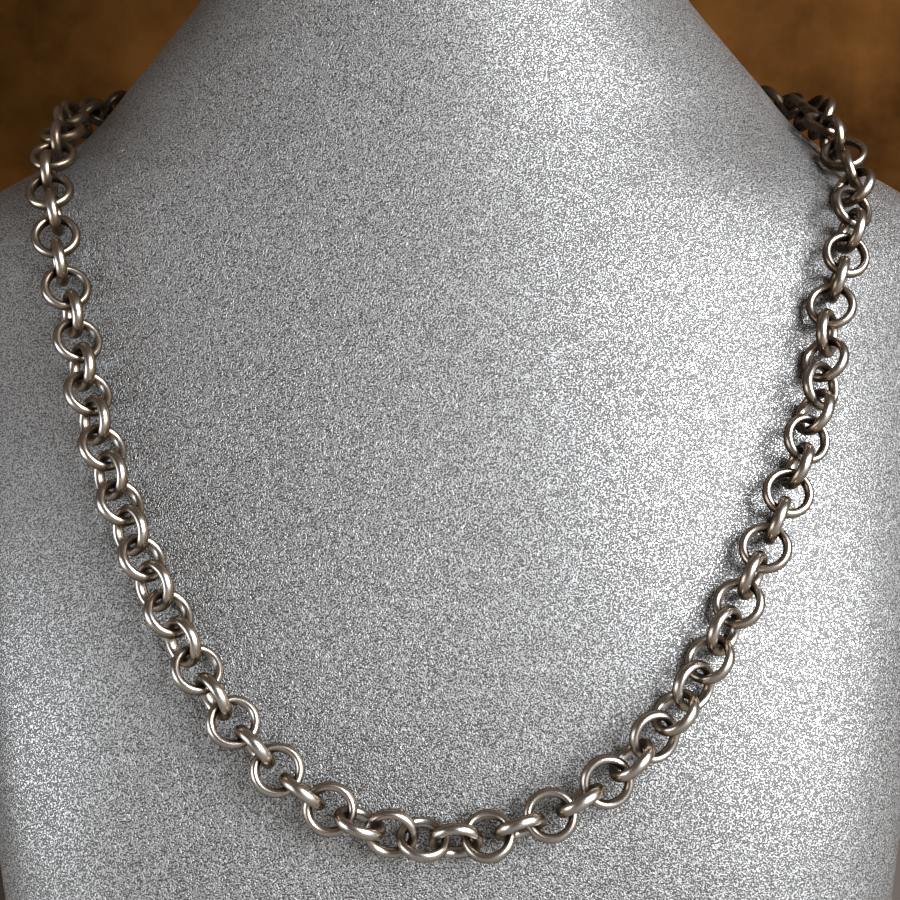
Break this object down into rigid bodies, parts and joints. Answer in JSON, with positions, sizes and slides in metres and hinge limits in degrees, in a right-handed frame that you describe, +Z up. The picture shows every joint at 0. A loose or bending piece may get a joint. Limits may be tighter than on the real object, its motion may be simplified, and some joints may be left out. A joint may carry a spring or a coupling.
{
  "type": "rolo chain necklace on neck bust",
  "caption": "Necklace chain of plain round interlocking rings of rounded wire, draped around a plain embossed neck bust with a flat foot.",
  "frame": {"origin": "bottom centre of the whole part's box: on the foot's flat face, under the middle of the bust and chain", "axes": "+Z up from the foot to the neck, -Y towards the front where the chain hangs lowest, +X to the right as seen from the front"},
  "size_m": [0.198, 0.1288, 0.25],
  "materials": {
    "bust_covering": "silver-grey leatherette embossed with a fine wavy grain, low metallic sheen",
    "silver": "satin-polished silver, darker in the crevices"
  },
  "bodies": {
    "root": {"neck_bust": "bust_covering", "chain_left": "silver", "chain_right": "silver", "clasp": "silver"}
  },
  "joints": []
}
